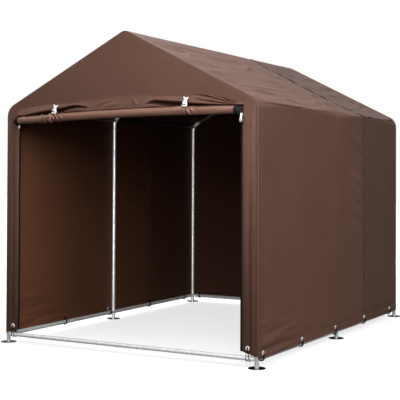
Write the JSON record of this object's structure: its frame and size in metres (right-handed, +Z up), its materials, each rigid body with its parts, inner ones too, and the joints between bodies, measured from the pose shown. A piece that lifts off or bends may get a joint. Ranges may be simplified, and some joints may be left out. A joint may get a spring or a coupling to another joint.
{
  "type": "bike shelter",
  "caption": "Free-standing gabled fabric bike shelter on a slip-together steel tube frame, open at the front with its door rolled up and strapped under the gable.",
  "frame": {"origin": "on the ground under the middle of the frame's footprint", "axes": "+Z up, +Y from the open front to the back wall, +X to the right as seen from in front of the doorway"},
  "size_m": [1.9, 2.51, 1.9719],
  "materials": {
    "galvanised_steel": "bright galvanised, faint spangle",
    "cover_fabric": "satin coated woven sheet",
    "zip_tape": "matt woven tape",
    "strap_webbing": "ribbed webbing",
    "white_plastic": "moulded, satin",
    "grommet_metal": "bright plated",
    "tie_cord": "braided"
  },
  "bodies": {
    "root": {"foot_front_left": "galvanised_steel", "foot_front_right": "galvanised_steel", "foot_middle_left": "galvanised_steel", "foot_middle_right": "galvanised_steel", "foot_back_left": "galvanised_steel", "foot_back_right": "galvanised_steel", "post_front_left": "galvanised_steel", "post_front_right": "galvanised_steel", "post_middle_left": "galvanised_steel", "post_middle_right": "galvanised_steel", "post_back_left": "galvanised_steel", "post_back_right": "galvanised_steel", "eave_elbow_front_left": "galvanised_steel", "eave_elbow_front_right": "galvanised_steel", "eave_elbow_middle_left": "galvanised_steel", "eave_elbow_middle_right": "galvanised_steel", "eave_elbow_back_left": "galvanised_steel", "eave_elbow_back_right": "galvanised_steel", "rafter_front_left": "galvanised_steel", "rafter_front_right": "galvanised_steel", "rafter_middle_left": "galvanised_steel", "rafter_middle_right": "galvanised_steel", "rafter_back_left": "galvanised_steel", "rafter_back_right": "galvanised_steel", "ridge_elbow_front": "galvanised_steel", "ridge_elbow_middle": "galvanised_steel", "ridge_elbow_back": "galvanised_steel", "ridge_poles": "galvanised_steel", "eave_poles": "galvanised_steel", "ground_rail_front": "galvanised_steel", "ground_rail_back": "galvanised_steel", "ground_rails_left": "galvanised_steel", "ground_rails_right": "galvanised_steel", "roof_cover": "cover_fabric", "left_wall": "cover_fabric", "right_wall": "cover_fabric", "back_wall": "cover_fabric", "front_gable": "cover_fabric", "front_strips": "cover_fabric", "rolled_door": "cover_fabric", "door_zips": "zip_tape", "door_straps": "strap_webbing", "strap_buckles": "white_plastic", "hem_grommets": "grommet_metal", "hem_ties": "tie_cord"}
  },
  "joints": []
}
